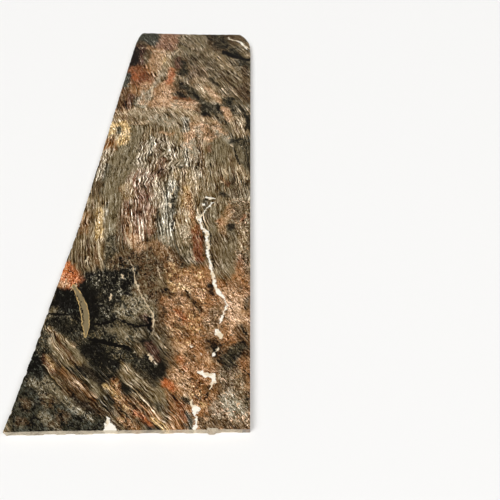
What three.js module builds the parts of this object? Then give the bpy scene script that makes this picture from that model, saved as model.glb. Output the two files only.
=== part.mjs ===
// A rough granite slab: one sheet of stone sawn from a quarry block and laid flat.
// Its upper face is polished, its underside is as sawn, and its rim is raw broken stone,
// apart from one long side that is sawn straight. Millimetres, +Z up.
// The origin is the middle of the underside. +Y runs along the slab, away from the near end.
import * as THREE from "three";

// Driving dimensions
const LENGTH = 2740;
const WIDTH = 800;
const THICKNESS = 30;
const RIM_POINTS = 500; // points round the rim, about 14 mm apart
const RIM_ROWS = 5; // rows of facets from the underside to the polished face

// How deep the broken stone of the rim goes
const LEDGE_DEPTH = 5.5; // plates that have split away below the polished face
const LEDGE_SIZE = 62;
const PIT_DEPTH = 2.6; // small pits and grains between the ledges
const PIT_SIZE = 17;
const CHIP_DEPTH = 3; // chips along the polished face's own edge
const CHIP_SIZE = 30;
const FOOT_BULGE = 2.5; // how far the rim leans out towards the underside
const SAWN_SHARE = 0.12; // how much of that roughness the sawn side keeps
const SAWN_FADE = 40; // the length over which a raw edge turns into the sawn side

const right = WIDTH / 2;
const left = -WIDTH / 2;
const far = LENGTH / 2;
const near = -LENGTH / 2;
const sawnSideEnd = far - 282; // where the far right corner starts to round off

// The outline of the slab seen from above, counterclockwise from the near left corner
function slabOutline() {
  const outline = new THREE.Shape();
  outline.moveTo(left, near);
  // the near end, slightly bowed
  outline.splineThru([
    new THREE.Vector2(left + 150, near + 4),
    new THREE.Vector2(left + 400, near + 7),
    new THREE.Vector2(right - 3, near + 11),
  ]);
  // the long side that is sawn straight
  outline.lineTo(right, sawnSideEnd);
  // the far right corner of the block, broken away
  outline.splineThru([
    new THREE.Vector2(right - 4, far - 182),
    new THREE.Vector2(right - 15, far - 130),
    new THREE.Vector2(right - 40, far - 70),
    new THREE.Vector2(right - 68, far - 32),
  ]);
  // the far end, running a little askew
  outline.splineThru([
    new THREE.Vector2(right - 105, far - 25),
    new THREE.Vector2(0, far - 20),
    new THREE.Vector2(left + 190, far - 9),
    new THREE.Vector2(left + 84, far),
  ]);
  // the far left corner, rounded less
  outline.splineThru([
    new THREE.Vector2(left + 66, far - 9),
    new THREE.Vector2(left + 56, far - 32),
    new THREE.Vector2(left + 46, far - 102),
    new THREE.Vector2(left + 41, far - 230),
  ]);
  // the raw long side, straight for most of its length and splayed towards the near end
  outline.splineThru([
    new THREE.Vector2(left + 40, far - 770),
    new THREE.Vector2(left + 40, near + 1020),
    new THREE.Vector2(left + 36, near + 810),
    new THREE.Vector2(left + 29, near + 660),
    new THREE.Vector2(left + 21, near + 460),
    new THREE.Vector2(left + 14, near + 260),
    new THREE.Vector2(left, near),
  ]);
  return new THREE.Shape(outline.getSpacedPoints(RIM_POINTS).slice(0, -1));
}

// A repeatable number from 0 to 1 for each whole-number cell
function cellValue(i, j, k) {
  const wave = Math.sin(i * 127.1 + j * 311.7 + k * 74.7) * 43758.5453;
  return wave - Math.floor(wave);
}

// Smooth noise from 0 to 1 whose lumps are `size` across
function lumps(point, size) {
  const cell = point.clone().divideScalar(size);
  const base = cell.clone().floor();
  const t = cell.sub(base);
  const ease = (v) => v * v * (3 - 2 * v);
  let sum = 0;
  for (let corner = 0; corner < 8; corner++) {
    const dx = corner & 1;
    const dy = (corner >> 1) & 1;
    const dz = corner >> 2;
    const weight =
      (dx ? ease(t.x) : 1 - ease(t.x)) *
      (dy ? ease(t.y) : 1 - ease(t.y)) *
      (dz ? ease(t.z) : 1 - ease(t.z));
    sum += weight * cellValue(base.x + dx, base.y + dy, base.z + dz);
  }
  return sum;
}

// How rough the rim is at a point: 1 on broken stone, SAWN_SHARE along the sawn side
function roughnessAt(point) {
  const offSide = right - 3 - point.x;
  const pastEnds = Math.max(point.y - sawnSideEnd, near + 25 - point.y);
  const raw = THREE.MathUtils.smoothstep(Math.max(offSide, pastEnds), 0, SAWN_FADE);
  return THREE.MathUtils.lerp(SAWN_SHARE, 1, raw);
}

// How far the rim stands back from the outline at a point of its wall
function rimSetback(point) {
  const height = point.z / THICKNESS;
  const split = lumps(point.clone().multiply(new THREE.Vector3(1, 1, 2.2)), LEDGE_SIZE);
  const ledge = LEDGE_DEPTH * THREE.MathUtils.smoothstep(split, 0.46, 0.56) * (1 - height);
  const pits = PIT_DEPTH * lumps(point, PIT_SIZE);
  const chip = CHIP_DEPTH * THREE.MathUtils.smoothstep(lumps(point, CHIP_SIZE), 0.55, 0.8) * height;
  const bulge = FOOT_BULGE * (1 - height);
  return roughnessAt(point) * (ledge + pits + chip - bulge);
}

// The outward direction of the rim at each point of the outline
function outwardDirections(points) {
  return points.map((point, i) => {
    const before = points[(i + points.length - 1) % points.length];
    const after = points[(i + 1) % points.length];
    const along = after.clone().sub(before).normalize();
    return new THREE.Vector2(along.y, -along.x);
  });
}

// The slab as an upright extrusion whose wall is then broken back, facet by facet
function slabGeometry() {
  const outline = slabOutline();
  const points = outline.getPoints();
  const outward = outwardDirections(points);
  const geometry = new THREE.ExtrudeGeometry(outline, {
    depth: THICKNESS,
    steps: RIM_ROWS,
    bevelEnabled: false,
  });
  // the geometry holds 32-bit numbers, so that is how its vertices are looked up
  const place = (x, y) => `${Math.fround(x)},${Math.fround(y)}`;
  const direction = new Map(points.map((p, i) => [place(p.x, p.y), outward[i]]));
  const position = geometry.getAttribute("position");
  const vertex = new THREE.Vector3();
  for (let i = 0; i < position.count; i++) {
    vertex.fromBufferAttribute(position, i);
    const out = direction.get(place(vertex.x, vertex.y));
    const setback = rimSetback(vertex);
    position.setXY(i, vertex.x - out.x * setback, vertex.y - out.y * setback);
  }
  geometry.deleteAttribute("uv");
  geometry.computeVertexNormals();
  geometry.computeBoundingBox();
  const middle = geometry.boundingBox.getCenter(new THREE.Vector3());
  return geometry.translate(-middle.x, -middle.y, 0);
}

const stone = new THREE.MeshStandardMaterial({
  color: 0x5c4f41,
  roughness: 0.15,
  metalness: 0,
});

const slab = new THREE.Mesh(slabGeometry(), stone);
slab.name = "granite_slab";

const part = new THREE.Group();
part.add(slab);

export default part;
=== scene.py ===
# A long slab of figured granite lying flat, polished on top, with a raw broken rim and one
# sawn side. The slab is one piece. Its veins, patches and grain are painted as points on the
# slab, carried by the mesh as attributes, and broken up by the material's own noise.
# Metres, apart from the drawing of the figure, which is in centimetres. Across is +X, along
# the slab is +Y and the polished face looks up, +Z.
import math

import bmesh
import bpy
import numpy as np
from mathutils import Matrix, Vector, noise


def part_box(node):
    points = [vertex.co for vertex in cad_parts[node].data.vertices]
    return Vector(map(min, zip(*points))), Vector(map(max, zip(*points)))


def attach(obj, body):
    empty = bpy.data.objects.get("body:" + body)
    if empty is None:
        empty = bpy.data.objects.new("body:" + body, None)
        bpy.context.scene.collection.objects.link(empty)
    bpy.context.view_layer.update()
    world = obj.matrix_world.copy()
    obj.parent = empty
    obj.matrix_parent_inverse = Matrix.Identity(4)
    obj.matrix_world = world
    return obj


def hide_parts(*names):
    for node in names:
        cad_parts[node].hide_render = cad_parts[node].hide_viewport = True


bl_info = {
    "name": "Figured granite slab",
    "version": (1, 0, 0),
    "blender": (4, 5, 0),
    "location": "View3D > Sidebar > Granite slab",
    "description": "Builds a long polished slab of figured granite with a raw rim",
    "category": "Add Mesh",
}

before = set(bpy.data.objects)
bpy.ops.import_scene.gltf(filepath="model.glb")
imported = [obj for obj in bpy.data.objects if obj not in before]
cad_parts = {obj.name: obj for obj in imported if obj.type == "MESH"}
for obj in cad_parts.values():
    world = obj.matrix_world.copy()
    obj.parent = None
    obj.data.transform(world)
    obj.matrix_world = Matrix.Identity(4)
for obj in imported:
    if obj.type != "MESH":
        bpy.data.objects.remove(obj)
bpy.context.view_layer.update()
SLAB_LOW, SLAB_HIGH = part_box("granite_slab")
SLAB_SIZE = SLAB_HIGH - SLAB_LOW

# The polished face's mesh and the rim's
CELLS_ACROSS = 154
CELLS_ALONG = 528
RIM_ROWS = 6
UNDERSIDE_ACROSS = 38
UNDERSIDE_ALONG = 132
UNDERSIDE_INSET = 0.02

# Where the sawn side stops, short of the far end
SAWN_SHORT = 0.282
# How rough the sawn side is next to the raw ones, and the near end next to the others
SAWN_RAW = 0.06
NEAR_END_RAW = 0.4
# The length over which a raw edge turns into the sawn side, and how far from the near end its
# calm starts and stops to fade
SAWN_FADE = 0.04
NEAR_END_FADE = (0.02, 0.1)
# Under this roughness the rim is sawn stone
SAWN_BELOW = 0.25

# How far the polished face may be broken back, how far its edge drops for the depth of a
# chip, and from what share of the deepest chip its faces are broken stone
EDGE_BREAK = 0.0042
CHIP_DROP = 0.35
CHIP_SHOWS = 0.6

# How large the raw rim's split plates, pits, grit and chips are
LEDGE_SIZE = 0.05
LEDGE_HEIGHT = 0.02
PIT_SIZE = 0.012
GRIT_SIZE = 0.005
CHIP_SIZE = 0.02

# A knob of stone left on the near end: how far along it, its half width, how far it stands out
# and the length over which it rises
KNOB_PLACE = 0.262
KNOB_HALF = 0.019
KNOB_OUT = 0.009
KNOB_RISE = 0.01

# The figure is drawn in centimetres across from the middle of the near end and along from it
FIGURE_ORIGIN = np.array((0.0115, -1.3615))
CENTIMETRE = 0.01


def linear(as_seen):
    """The scene's linear colour for a colour written as it is seen, such as 0xC8A070."""
    channels = [(as_seen >> shift & 255) / 255 for shift in (16, 8, 0)]
    return [c / 12.92 if c <= 0.04045 else ((c + 0.055) / 1.055) ** 2.4 for c in channels]


def colour(name, description, as_seen):
    return bpy.props.FloatVectorProperty(
        name=name, description=description, default=linear(as_seen),
        subtype="COLOR", size=3, min=0, max=1,
    )


def metres(name, description, default):
    return bpy.props.FloatProperty(
        name=name, description=description, default=default, min=0, precision=4, unit="LENGTH"
    )


class StoneColours(bpy.types.PropertyGroup):
    """The minerals' colours, roughly from dark to pale, then crushed and sawn stone."""

    mica: colour("Mica", "Black of the massed mica", 0x0D0A07)
    smoke: colour("Smoke", "Charcoal between the black grains", 0x383426)
    umber: colour("Umber", "Dark brown of the shaded layers", 0x584026)
    bark: colour("Bark", "Brown grains in the feldspar", 0x71502E)
    maroon: colour("Maroon", "Dark red of the folded layers", 0x5A3628)
    moss: colour("Moss", "Dark green grey at the edges", 0x45453A)
    russet: colour("Russet", "Red brown of the folded fibres", 0x876048)
    slate: colour("Slate", "Ground of the smooth grey brown bands", 0x64573F)
    drab: colour("Drab", "Grey brown of the layered stone", 0x7E6F52)
    brick: colour("Brick", "Red brown feldspar", 0x82492A)
    rust: colour("Rust", "Orange brown feldspar", 0x986739)
    clay: colour("Clay", "Lighter feldspar", 0xAF855A)
    orange: colour("Orange", "The brightest feldspar", 0xBA6834)
    sand: colour("Sand", "Yellow grey streaks", 0xA48C66)
    ash: colour("Ash", "Grey streaks", 0xA49A83)
    tan: colour("Tan", "Pale streaks", 0xBEA27B)
    rose: colour("Rose", "Pink of the pale patches", 0xCDA57E)
    ochre: colour("Ochre", "Yellow spots", 0xDDB877)
    cream: colour("Cream", "The palest streaks", 0xE2D0B2)
    quartz: colour("Quartz", "White of the veins", 0xF4EEE0)
    dust: colour("Dust", "Crushed stone of the raw rim", 0xC6B8A0)
    saw_grey: colour("Saw grey", "Dull grey of the sawn underside", 0xA0968A)


class SlabSizes(bpy.types.PropertyGroup):
    """The depths of the raw rim's breaks and chips, its lean and how far the patches fray."""

    ledge_depth: metres("Ledge depth", "How deep the raw rim's split plates go", 0.0055)
    pit_depth: metres("Pit depth", "Depth of the small pits between them", 0.0028)
    chip_depth: metres("Chip depth", "Depth of the chips at the polished edge", 0.0038)
    foot_bulge: metres("Foot bulge", "How far the raw rim leans out below", 0.0022)
    fray: metres("Fray", "How far the patches' ends run into their neighbours", 0.026)


# Each mineral is a dark, a middle and a light colour, the dark's and the light's share of
# the area, and how streaky it is: 0 is short grains and 1 long fibres
MINERALS = {
    "black": ("mica", "mica", "smoke", 0.3, 0.12, 0.2),
    "pitch": ("mica", "mica", "moss", 0.3, 0.2, 0.2),
    "flecked": ("mica", "smoke", "ash", 0.58, 0.26, 0.2),
    "charcoal": ("mica", "smoke", "drab", 0.4, 0.26, 0.2),
    "dusk": ("mica", "smoke", "moss", 0.35, 0.4, 0.2),
    "moss": ("mica", "moss", "ash", 0.35, 0.15, 0.6),
    "umber": ("mica", "umber", "drab", 0.3, 0.3, 0.6),
    "maroon": ("mica", "maroon", "tan", 0.3, 0.2, 0.9),
    "slate": ("slate", "drab", "ash", 0.4, 0.2, 0.6),
    "olive": ("umber", "drab", "sand", 0.35, 0.3, 0.95),
    "fibre": ("smoke", "slate", "tan", 0.35, 0.24, 1.0),
    "fan": ("mica", "smoke", "sand", 0.42, 0.25, 0.95),
    "mottle": ("mica", "umber", "drab", 0.28, 0.36, 0.15),
    "lichen": ("smoke", "drab", "ash", 0.36, 0.28, 0.15),
    "speckle": ("umber", "drab", "rose", 0.42, 0.28, 0.15),
    "brick": ("umber", "brick", "clay", 0.35, 0.25, 0.5),
    "brick_streak": ("umber", "rust", "tan", 0.35, 0.32, 0.95),
    "russet": ("umber", "russet", "cream", 0.38, 0.28, 1.0),
    "rosy": ("umber", "russet", "rose", 0.25, 0.3, 0.5),
    "rust": ("umber", "rust", "clay", 0.28, 0.32, 0.2),
    "rust_pale": ("umber", "clay", "rose", 0.25, 0.28, 0.15),
    "golden": ("umber", "rust", "ochre", 0.26, 0.28, 0.2),
    "orange": ("brick", "orange", "clay", 0.32, 0.15, 0.2),
    "ochre": ("bark", "ochre", "cream", 0.28, 0.28, 0.5),
    "rose": ("bark", "clay", "rose", 0.26, 0.52, 0.2),
    "tan": ("bark", "sand", "cream", 0.35, 0.3, 0.7),
    "wavy": ("umber", "drab", "cream", 0.36, 0.42, 1.0),
    "wavy_dark": ("mica", "russet", "tan", 0.4, 0.36, 1.0),
    "grey": ("smoke", "ash", "cream", 0.4, 0.2, 0.95),
    "milk": ("drab", "ash", "rose", 0.25, 0.35, 0.2),
}

# Which way the grain runs: a place on the slab and the lean from straight along it, in
# degrees, positive to the right
GRAIN = (
    (-30, 265, -30), (-15, 260, -22), (0, 260, -32), (15, 260, -28), (32, 260, -38), (-32, 235, -12),
    (-16, 235, -14), (0, 235, -30), (15, 235, -31), (32, 235, -36), (-30, 210, -24), (-15, 210, -10),
    (0, 210, -22), (15, 210, -34), (32, 210, -30), (-33, 190, -10), (-20, 195, 12), (-10, 190, -28),
    (3, 185, -32), (16, 185, -46), (32, 185, -33), (-30, 172, -22), (-10, 175, -30), (10, 165, -18),
    (31, 165, -27), (-30, 155, 2), (-15, 150, 0), (0, 150, -2), (15, 150, -14), (34, 145, -16),
    (-33, 125, -4), (-15, 130, 4), (0, 125, 2), (15, 125, -10), (32, 125, -14), (-33, 100, -12),
    (-15, 105, -8), (0, 105, -4), (15, 100, -6), (32, 100, -8), (-33, 80, -14), (-15, 85, -14),
    (2, 85, -14), (15, 82, -16), (32, 80, -8), (-20, 68, -24), (-5, 68, -27), (8, 68, -32),
    (25, 62, -20), (-33, 50, -26), (-25, 47, -24), (-8, 50, -40), (5, 50, -32), (20, 47, -38),
    (34, 45, -30), (-36, 33, -46), (-25, 30, -48), (-10, 30, -52), (5, 27, -44), (20, 28, -40),
    (34, 25, -30), (-36, 12, -54), (-25, 14, -52), (-10, 13, -50), (4, 12, -52), (15, 10, -46),
    (30, 10, -34), (-20, 2, -52), (5, 2, -52),
)

# How far the grain waves from side to side, in metres where it is calm, and where it isn't:
# a half width, the height of the waves, then the points of the middle line
CALM_WAVE = 0.008
WAVES = (
    (12, 3.2, -12, 150, -10, 124),
    (5, 2.2, -34, 145, -34, 120),
)

# The patches, painted one over another: mineral, half width, strength, then across and along
# for each point of the middle line
PATCHES = (
    # The far third
    ("olive", 12, 0.5, 6, 250, 25, 215), ("rosy", 6, 0.25, 5, 224, 8, 212),
    ("tan", 6, 0.7, 8, 210, 18, 195), ("rose", 2, 0.7, 13, 204, 21, 190),
    ("moss", 9, 1, -30, 273, -30, 260), ("umber", 5, 0.8, -34, 256, -28, 250),
    ("maroon", 6, 1, -35, 250, -34, 232), ("black", 3.5, 0.9, -35.5, 248, -34.5, 229),
    ("rose", 2.2, 0.6, -27.5, 253, -23.5, 249), ("olive", 2.2, 0.6, -28, 244, -26, 234),
    ("umber", 2.2, 1, -27, 247, -22.5, 236), ("rosy", 6.5, 1, -16, 276, -15.5, 252),
    ("rosy", 5.5, 0.7, -18, 256, -18, 242), ("tan", 5.5, 0.9, -17, 244, -15.5, 222),
    ("ochre", 2.2, 0.6, -17, 243, -16.5, 234), ("rose", 4.5, 0.7, -20, 246, -21.5, 225),
    ("olive", 2.8, 1, -15, 222, -16, 210), ("brick_streak", 8.5, 1, -27, 222, -24, 203),
    ("brick", 6, 1, -32, 223, -26, 211), ("orange", 2, 0.4, -32, 220, -30, 214),
    ("rose", 3, 0.9, -24, 208, -22, 200), ("moss", 1.8, 1, -36, 220, -35.5, 203),
    ("rust_pale", 3, 1, -9, 222, -10, 206), ("brick", 1.6, 0.7, -8.5, 220, -10, 210),
    ("orange", 1.4, 0.5, -10, 214, -14, 206), ("rose", 3.5, 0.9, -13, 207, -7, 202),
    ("umber", 4.5, 1, -5, 236, -3, 221), ("charcoal", 2.5, 0.9, -4, 234, -2, 222),
    ("charcoal", 1.6, 0.8, -3, 223, -3.5, 212), ("tan", 1.4, 0.7, -5, 217, -2, 213),
    ("umber", 3.5, 0.8, -4.5, 210, -1, 196), ("orange", 1.8, 0.6, -9.5, 225, -10, 208),
    ("milk", 1.6, 0.7, -15, 220, -18.5, 206, -25, 188), ("maroon", 2, 1, -7.5, 238, -6, 228),
    ("black", 1.2, 0.9, -3, 210, -1.5, 203), ("black", 1.2, 0.9, -3, 199, 1, 194),
    ("slate", 2, 0.9, -7.5, 256, -1, 246, 3, 241), ("slate", 3.5, 0.9, 3, 268, 7, 256),
    ("tan", 5, 0.15, -6, 268, 2, 255), ("umber", 7, 0.9, 16, 274, 19, 254),
    ("charcoal", 6, 0.8, 18, 268, 20, 256), ("black", 1.4, 0.9, -2, 273.5, 12, 273),
    ("black", 2.6, 1, 22, 246, 28, 241.5, 36, 238), ("charcoal", 2.6, 0.8, 26, 250, 31, 244),
    ("black", 2.5, 0.9, 31, 243, 36, 237), ("charcoal", 3.5, 0.7, 33, 233, 37, 228),
    ("umber", 5, 0.8, 26, 270, 30, 260), ("umber", 3, 0.4, 31, 266, 34, 254),
    ("olive", 2, 0.7, 30, 260, 34, 253), ("olive", 3, 0.8, 34, 247, 37, 242),
    ("umber", 1, 1, 2, 240, 5, 234), ("black", 0.7, 0.9, 1.5, 233, 3, 230),
    ("umber", 1.2, 0.9, 20, 222, 26, 210, 31, 200), ("black", 1.1, 0.8, 14, 215, 19, 207),
    ("tan", 4, 0.3, 28, 202, 31, 192), ("olive", 4, 0.3, 24, 230, 33, 212),
    ("umber", 2, 0.8, 35, 228, 36.5, 206), ("brick_streak", 5, 0.9, -34.5, 200, -33, 180),
    ("umber", 3, 0.7, -35, 202, -35, 184), ("maroon", 2.2, 0.8, -30, 196, -31, 184),
    ("milk", 3.5, 0.9, -21.5, 199, -22, 187), ("rose", 1.6, 0.5, -21.5, 197, -22.5, 188),
    ("grey", 1.4, 0.5, -20, 202, -21, 192), ("rose", 5.5, 1, -13, 199, -10, 190),
    ("rose", 6, 1, -14, 187, 5, 185), ("milk", 4, 0.8, -3, 187, 4, 183),
    ("rose", 3, 0.7, 0, 188, 6, 182), ("brick", 1.4, 0.8, -5, 193, 5, 191),
    # The dark diagonal and what lies beside it
    ("charcoal", 2.2, 0.75, 0, 206, 6, 199, 9, 192, 13, 187), ("black", 1, 0.9, 5, 199, 8.5, 193),
    ("flecked", 4.5, 0.6, 12, 185, 20, 182), ("black", 1.2, 0.7, 11, 186.5, 16, 182),
    ("black", 1.6, 0.9, 20, 185, 23.5, 177.5), ("black", 2.6, 1, 7, 177.5, 14, 176.5),
    ("charcoal", 4.5, 1, 27, 190, 36, 174), ("umber", 4, 0.9, 34, 202, 36, 192),
    ("fibre", 4, 0.8, 32, 188, 37, 172), ("black", 1, 0.8, 33, 184, 36, 176),
    ("rose", 2.2, 1, 24.5, 182, 27.5, 172),
    # The middle, where the layers run along the slab
    ("tan", 5.5, 1, -30, 177, -5, 178, 5, 175), ("rose", 3.5, 0.55, -32, 178, -14, 179),
    ("milk", 4, 1, -26, 178, -15, 177), ("slate", 3, 0.3, -13, 182, -6, 175),
    ("fibre", 5, 0.8, -6, 173, 2, 166), ("olive", 26, 1, -12, 152, 12, 125),
    ("tan", 4, 0.5, -26, 179, -16, 178), ("milk", 4, 0.6, -13, 173, -5, 169),
    ("wavy", 11, 0.9, -9, 144, -10, 125), ("grey", 1.2, 0.8, -13.5, 156, -12, 142),
    ("rose", 1.2, 0.7, -9, 160, -2, 159.5), ("slate", 5.5, 1, -24, 164, -25, 136),
    ("tan", 4.5, 1, -33, 176, -33, 154), ("ochre", 2.1, 1, -35.2, 167, -34.5, 161),
    ("ochre", 2.8, 1, -30, 168, -27.8, 160, -27.8, 152), ("ochre", 1.4, 0.8, -34, 155, -31, 152),
    ("moss", 1.2, 0.9, -32, 165, -31.5, 160), ("tan", 2.2, 0.9, -26, 168.5, -20, 168.5),
    ("rose", 8.5, 1, 12, 166, 18, 161), ("rose", 5, 0.9, 8, 160, 9, 150),
    ("milk", 2.2, 0.9, 17, 163, 24, 156.5, 28.5, 151.5), ("brick_streak", 1.6, 0.6, 15, 164, 18, 160),
    ("slate", 2.2, 0.8, 24.5, 166, 26, 162), ("mottle", 1.6, 0.8, 15, 169, 20, 166),
    ("milk", 2, 0.7, 10, 164, 12, 158), ("umber", 1.2, 0.7, 14, 157, 22, 158),
    ("tan", 2.8, 0.7, 8, 171, 16, 171), ("grey", 2.4, 0.9, 3.5, 172, 4, 162),
    ("tan", 4, 0.7, 31, 172, 34, 160), ("black", 1.8, 0.9, 37.5, 174, 37.5, 164),
    ("black", 1.6, 0.9, 29, 152, 34, 153), ("charcoal", 4.5, 0.6, 34, 151, 37.5, 134),
    ("slate", 1.8, 0.6, 33, 146, 34.5, 138), ("slate", 5, 0.9, 22, 150, 22, 130),
    ("wavy", 3.5, 0.8, 11, 152, 12, 125), ("milk", 2.2, 0.7, 8.5, 152, 9.5, 140),
    ("brick_streak", 1, 0.35, 13, 150, 16, 125), ("milk", 2.2, 0.6, 4.5, 150, 5, 133),
    ("grey", 1.2, 0.8, 6, 146, 6.5, 134), ("rosy", 1.2, 0.7, 17, 149, 17.5, 145),
    ("wavy_dark", 3, 0.8, -5.5, 136, -8, 120), ("maroon", 1.4, 0.6, -5, 131, -4, 125),
    ("black", 1, 0.8, -5, 130, -9, 125), ("ochre", 1, 0.5, 2, 129, 2.5, 123),
    ("milk", 3, 0.6, 0, 121, -1, 112), ("black", 1, 0.8, 4, 131, 10, 129),
    ("tan", 3.5, 0.8, 8, 127, 12, 116), ("olive", 6, 0.8, 22, 130, 24, 115),
    ("tan", 1.4, 0.8, 33, 133, 37, 122), ("fibre", 6, 0.8, 31, 118, 32, 113),
    ("speckle", 4, 0.5, 31, 117, 33, 109), ("brick", 1, 0.5, 25, 123, 28, 119),
    ("black", 1.3, 0.9, 25, 112, 28, 109),
    # The left border of the middle
    ("brick_streak", 3.5, 1, -34.5, 152, -34, 146), ("wavy", 3, 0.8, -34.5, 144, -34, 122),
    ("moss", 2, 0.8, -31.5, 132, -30.5, 122), ("umber", 2, 0.6, -34.5, 120, -34.5, 110),
    ("slate", 6, 1, -25, 136, -25, 98, -23.5, 80), ("russet", 7.5, 1, -13, 122, -12, 88),
    ("tan", 3, 0.9, -21, 117, -18, 111), ("maroon", 1.8, 0.5, -13, 118, -11.5, 110),
    ("maroon", 1.2, 0.9, -10, 110, -9, 102), ("wavy", 3, 0.7, -5, 120, -4, 102),
    ("rosy", 2.2, 0.7, -6.5, 102, -5, 88), ("tan", 1.4, 0.5, -5, 98, -4.5, 91),
    ("brick_streak", 2, 0.7, -17, 99, -14, 86), ("grey", 3, 1, 1, 119, 2, 82),
    ("charcoal", 0.8, 0.8, 4.5, 117, 3.5, 109, 4.5, 98), ("charcoal", 1, 0.8, 2, 108, 2.5, 100),
    ("black", 0.8, 0.8, -3.5, 102, -3, 94), ("tan", 3.5, 0.9, 9, 118, 10, 98),
    ("ochre", 1.6, 0.7, 8, 116, 9, 104), ("rose", 1.4, 0.5, 9.5, 108, 10, 102),
    ("golden", 1.4, 0.8, 9.5, 113, 11, 104, 12.5, 96), ("tan", 3.5, 0.9, 8, 98, 10, 83),
    ("slate", 1.6, 0.7, 6, 88, 12, 74), ("milk", 2.2, 0.5, 9.5, 91, 11.5, 83),
    ("brick", 2.4, 1, 15, 90, 17, 73), ("maroon", 1, 0.5, 15, 86, 17.5, 70),
    ("golden", 1.2, 0.7, 12.5, 98, 14, 90), ("charcoal", 2.4, 0.9, 19, 107, 20, 100),
    ("olive", 6, 1, 25, 104, 26, 76), ("slate", 2.2, 0.8, 22, 102, 22.5, 86),
    ("orange", 1.2, 0.6, 25, 95, 25.5, 93), ("rust_pale", 2, 0.6, 25, 93, 28, 86),
    ("speckle", 5, 1, 33.5, 105, 34.5, 62), ("orange", 0.8, 0.5, 36, 98, 35, 95),
    ("rust_pale", 2, 0.7, 29, 102, 27, 94), ("tan", 2.5, 0.7, 34.5, 88, 34.5, 80),
    ("umber", 2, 0.5, 35, 104, 34, 98), ("black", 1.8, 0.9, 30, 92, 31, 87),
    ("slate", 3, 0.8, 30.5, 86, 29.5, 74), ("brick", 1.4, 0.7, 34.5, 72, 34.5, 62),
    # The left border of the near half, and the fibres above the orange patch
    ("olive", 6, 1, -33, 105, -29, 70), ("grey", 1, 0.7, -27.5, 106, -27, 90),
    ("tan", 1.4, 0.5, -33, 105, -31.5, 86), ("tan", 1, 0.5, -30, 80, -28.5, 70),
    ("brick_streak", 2, 0.8, -35.5, 98, -34.5, 87), ("ochre", 1.6, 0.8, -30, 102, -27, 84),
    ("tan", 2, 0.6, -26, 82, -24, 70), ("olive", 3.5, 0.9, -35, 82, -33, 70),
    ("umber", 5, 0.25, -36, 100, -33, 70), ("umber", 1.8, 0.7, -18.5, 95, -18, 80),
    ("charcoal", 2.2, 0.8, -21.5, 84, -20.5, 70),
    # Brown mottled ground below the layers
    ("umber", 13, 1, -5, 70, 0, 60), ("mottle", 10, 0.9, -6, 70, 0, 62),
    ("mottle", 5, 0.7, -2, 76, 5, 70), ("milk", 2, 0.7, 1, 85, 3, 80), ("rust", 3, 0.4, -2, 80, 6, 71),
    ("rose", 2.5, 0.7, -12, 84, -8, 78), ("mottle", 4.5, 0.6, 6, 70, 11, 64),
    ("mottle", 7.5, 0.9, -4, 57, 4, 55),
    # The rust coloured field at the right
    ("rust", 14, 1, 26, 56, 25, 0), ("olive", 5, 0.9, 27, 80, 27, 66),
    ("umber", 4.5, 0.45, 26, 84, 26, 70), ("slate", 2.5, 0.5, 29, 80, 29, 66),
    ("golden", 6, 0.7, 15, 62, 14, 37), ("golden", 3, 0.6, 6, 67, 9, 58),
    ("rust", 3, 0.8, 6, 50, 8, 42), ("olive", 1.2, 0.8, 1.5, 63, 3.5, 58),
    ("ochre", 0.8, 0.7, 5.5, 61, 7.5, 59), ("golden", 5, 0.7, 14, 62, 17, 57),
    ("rust_pale", 5, 0.7, 14, 58, 15, 52), ("golden", 2, 0.7, 17, 53, 20, 49),
    ("rust_pale", 3, 0.3, 14, 30, 20, 24), ("orange", 1.2, 0.5, 11, 46, 14, 42),
    ("orange", 1, 0.4, 13, 26, 16, 22), ("rose", 1.6, 0.3, 11, 33, 15, 29),
    ("ochre", 1, 0.5, 10, 58.5, 14, 56), ("umber", 1, 0.7, 16, 28, 19, 25),
    ("umber", 1, 0.6, 12, 39, 15, 36), ("umber", 1.2, 0.6, 9, 27, 12, 23),
    ("speckle", 3, 0.6, 26, 46, 24, 38), ("mottle", 2.2, 0.7, 4, 47, 5, 38),
    ("mottle", 1.6, 0.7, 8.5, 34, 10, 29), ("umber", 1.2, 0.9, 14, 54, 20, 46),
    ("umber", 1.8, 0.5, 31, 60, 34, 57), ("black", 1.4, 0.9, 22.5, 58.5, 23.5, 54.5),
    ("rust_pale", 5.5, 0.9, 32, 52, 34, 42), ("rose", 3.5, 0.9, 33, 50, 34.5, 44),
    ("moss", 1.2, 0.7, 37.5, 52, 37.2, 48), ("umber", 2.5, 0.8, 35.5, 38, 37.5, 28),
    ("mottle", 3.5, 0.8, 25, 31, 28, 27), ("black", 0.9, 0.8, 25.5, 30.5, 27, 27.5),
    ("black", 0.8, 0.8, 23.5, 32.5, 27, 30, 26, 27), ("charcoal", 2.6, 0.8, 34.5, 31, 31.5, 25),
    ("umber", 2.5, 0.8, 33, 25, 29, 22), ("speckle", 5, 0.9, 32, 18, 33, 10),
    ("charcoal", 2.8, 0.8, 33.5, 29.5, 30.5, 24.5), ("umber", 3, 0.45, 28, 14.5, 31, 12),
    ("milk", 3, 0.9, 32, 10, 34.5, 6), ("milk", 2, 0.6, 26, 8, 28, 5),
    ("brick_streak", 3.5, 0.8, 14, 11, 15, 3), ("brick", 1.6, 0.8, 15.5, 8, 16.5, 5),
    ("maroon", 1.2, 0.8, 12.5, 11.5, 14, 9.5), ("orange", 1.6, 1, 9.5, 16.5, 12.5, 15),
    ("tan", 2, 0.7, 15, 17, 17, 13), ("rust_pale", 3, 0.7, 13, 20, 17, 13),
    ("golden", 2.8, 0.8, 20, 15, 21.5, 10), ("umber", 0.8, 0.8, 23.5, 15, 25, 12),
    ("charcoal", 0.8, 0.9, 37.2, 11, 37.5, 8), ("speckle", 2.5, 0.7, 24, 2, 36, 2.5),
    ("charcoal", 1, 0.9, 17, 11, 18, 9), ("moss", 1.4, 1, 18.6, 4, 19, 1.5),
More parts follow.
